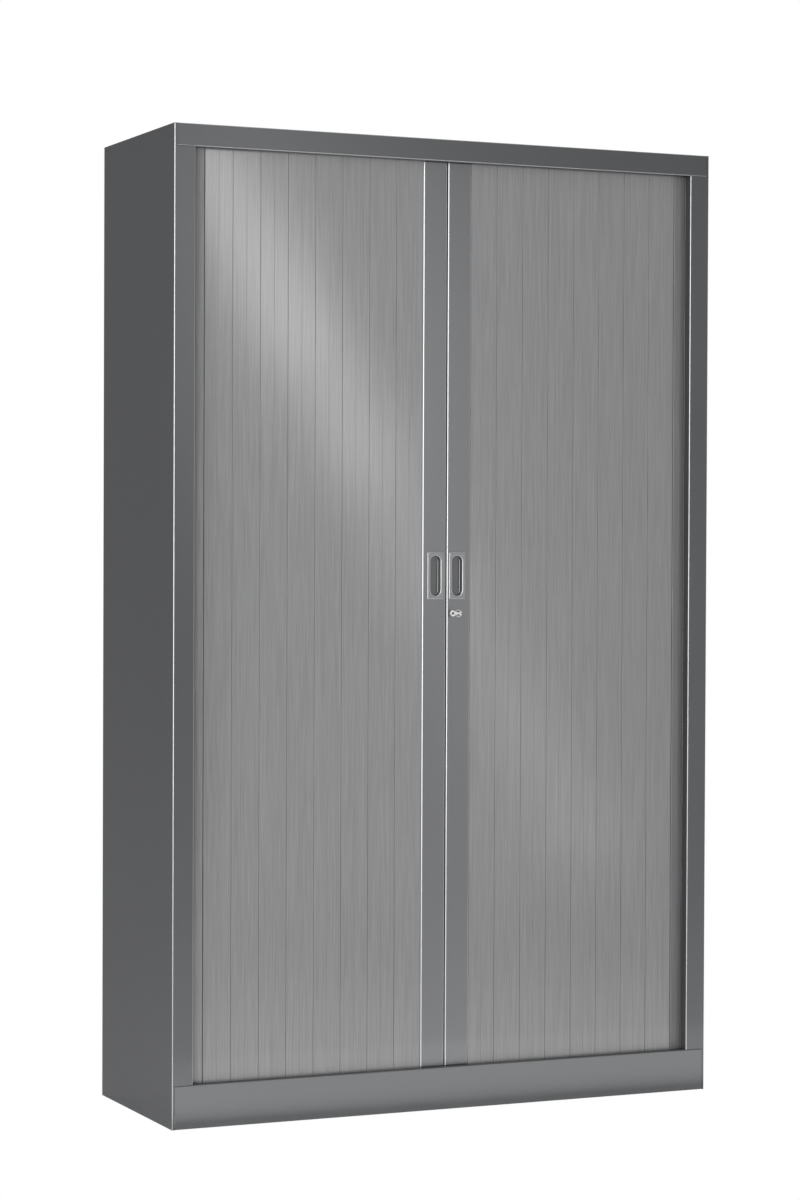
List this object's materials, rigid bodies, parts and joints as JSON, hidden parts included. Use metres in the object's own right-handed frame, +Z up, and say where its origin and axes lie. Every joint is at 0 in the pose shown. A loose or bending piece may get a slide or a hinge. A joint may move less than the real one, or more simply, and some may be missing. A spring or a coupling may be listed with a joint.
{
  "type": "tambour door cupboard",
  "caption": "Tall free-standing steel cupboard with shelves behind two sideways sliding tambour curtains, each led by a stile with a finger cup, and a key lock.",
  "frame": {"origin": "middle of the footprint at floor level", "axes": "+X to the right seen from the front, +Y to the back, +Z up; the curtains face -Y"},
  "size_m": [1.2, 0.43, 1.98],
  "materials": {
    "carcass_paint": "satin anthracite powder coat",
    "inner_paint": "satin anthracite powder coat",
    "track_plastic": "moulded black",
    "slat_film": "brushed aluminium look film",
    "web_plastic": "soft dark grey",
    "stile_paint": "satin grey coated profile",
    "handle_paint": "satin grey",
    "zinc_steel": "zinc plated",
    "lock_chrome": "polished",
    "key_steel": "nickel plated",
    "stop_rubber": "matt black",
    "leveller_steel": "zinc plated"
  },
  "bodies": {
    "root": {"access_caps": "track_plastic", "back_joint_strip": "carcass_paint", "back_panel_left": "carcass_paint", "back_panel_right": "carcass_paint", "bottom_corner_guides": "track_plastic", "bottom_front_track": "track_plastic", "bottom_pocket_tracks": "track_plastic", "carcass_nuts": "zinc_steel", "ceiling_panel": "inner_paint", "door_stops": "stop_rubber", "floor_panel": "inner_paint", "inner_back_panel": "inner_paint", "left_corner_slats": "slat_film", "left_corner_web": "web_plastic", "left_pocket_wall": "inner_paint", "left_side_panel": "carcass_paint", "left_slats": "slat_film", "left_slotted_uprights": "inner_paint", "left_web": "web_plastic", "leveller_brackets": "inner_paint", "leveller_nuts": "zinc_steel", "plinth": "carcass_paint", "right_corner_slats": "slat_film", "right_corner_web": "web_plastic", "right_pocket_wall": "inner_paint", "right_side_panel": "carcass_paint", "right_slats": "slat_film", "right_slotted_uprights": "inner_paint", "right_web": "web_plastic", "shelf_1": "inner_paint", "shelf_2": "inner_paint", "shelf_3": "inner_paint", "shelf_4": "inner_paint", "shelf_clips": "zinc_steel", "top_corner_guides": "track_plastic", "top_front_track": "track_plastic", "top_panel": "carcass_paint", "top_pocket_tracks": "track_plastic", "weld_studs": "zinc_steel"},
    "left_door": {"left_stile": "stile_paint", "left_stile_caps": "track_plastic", "left_cap_screws": "zinc_steel", "left_handle_cup": "handle_paint", "strike_plate": "zinc_steel"},
    "right_door": {"right_stile": "stile_paint", "right_stile_caps": "track_plastic", "right_cap_screws": "zinc_steel", "right_handle_cup": "handle_paint", "lock_housing": "lock_chrome", "lock_nut": "zinc_steel"},
    "lock": {"lock_rotor": "lock_chrome", "lock_cam": "zinc_steel", "cam_screw": "zinc_steel"},
    "key": {"key_blade": "key_steel", "key_pin": "key_steel"},
    "bow": {"key_bow": "key_steel"},
    "front_left_foot": {"leveller_front_left": "leveller_steel"},
    "front_right_foot": {"leveller_front_right": "leveller_steel"},
    "rear_left_foot": {"leveller_rear_left": "leveller_steel"},
    "rear_right_foot": {"leveller_rear_right": "leveller_steel"}
  },
  "joints": [
    {"name": "left_curtain", "type": "slide", "parent": "root", "child": "left_door", "axis": [-1, 0, 0], "range_m": [0, 0.472], "deforming": ["left_slats", "left_web"]},
    {"name": "right_curtain", "type": "slide", "parent": "root", "child": "right_door", "axis": [1, 0, 0], "range_m": [0, 0.472], "deforming": ["right_slats", "right_web"]},
    {"name": "lock_turn", "type": "hinge", "parent": "right_door", "child": "lock", "pos_m": [0.0275, -0.19, 1.015], "axis": [0, 1, 0], "range_deg": [0, 90]},
    {"name": "key_pull", "type": "slide", "parent": "lock", "child": "key", "axis": [0, -1, 0], "range_m": [0, 0.03]},
    {"name": "key_fold", "type": "hinge", "parent": "key", "child": "bow", "pos_m": [0.0275, -0.2032, 1.015], "axis": [0, 0, 1], "range_deg": [0, 180]},
    {"name": "front_left_foot_screw", "type": "slide", "parent": "root", "child": "front_left_foot", "axis": [0, 0, -1], "range_m": [0, 0.012]},
    {"name": "front_right_foot_screw", "type": "slide", "parent": "root", "child": "front_right_foot", "axis": [0, 0, -1], "range_m": [0, 0.012]},
    {"name": "rear_left_foot_screw", "type": "slide", "parent": "root", "child": "rear_left_foot", "axis": [0, 0, -1], "range_m": [0, 0.012]},
    {"name": "rear_right_foot_screw", "type": "slide", "parent": "root", "child": "rear_right_foot", "axis": [0, 0, -1], "range_m": [0, 0.012]}
  ]
}
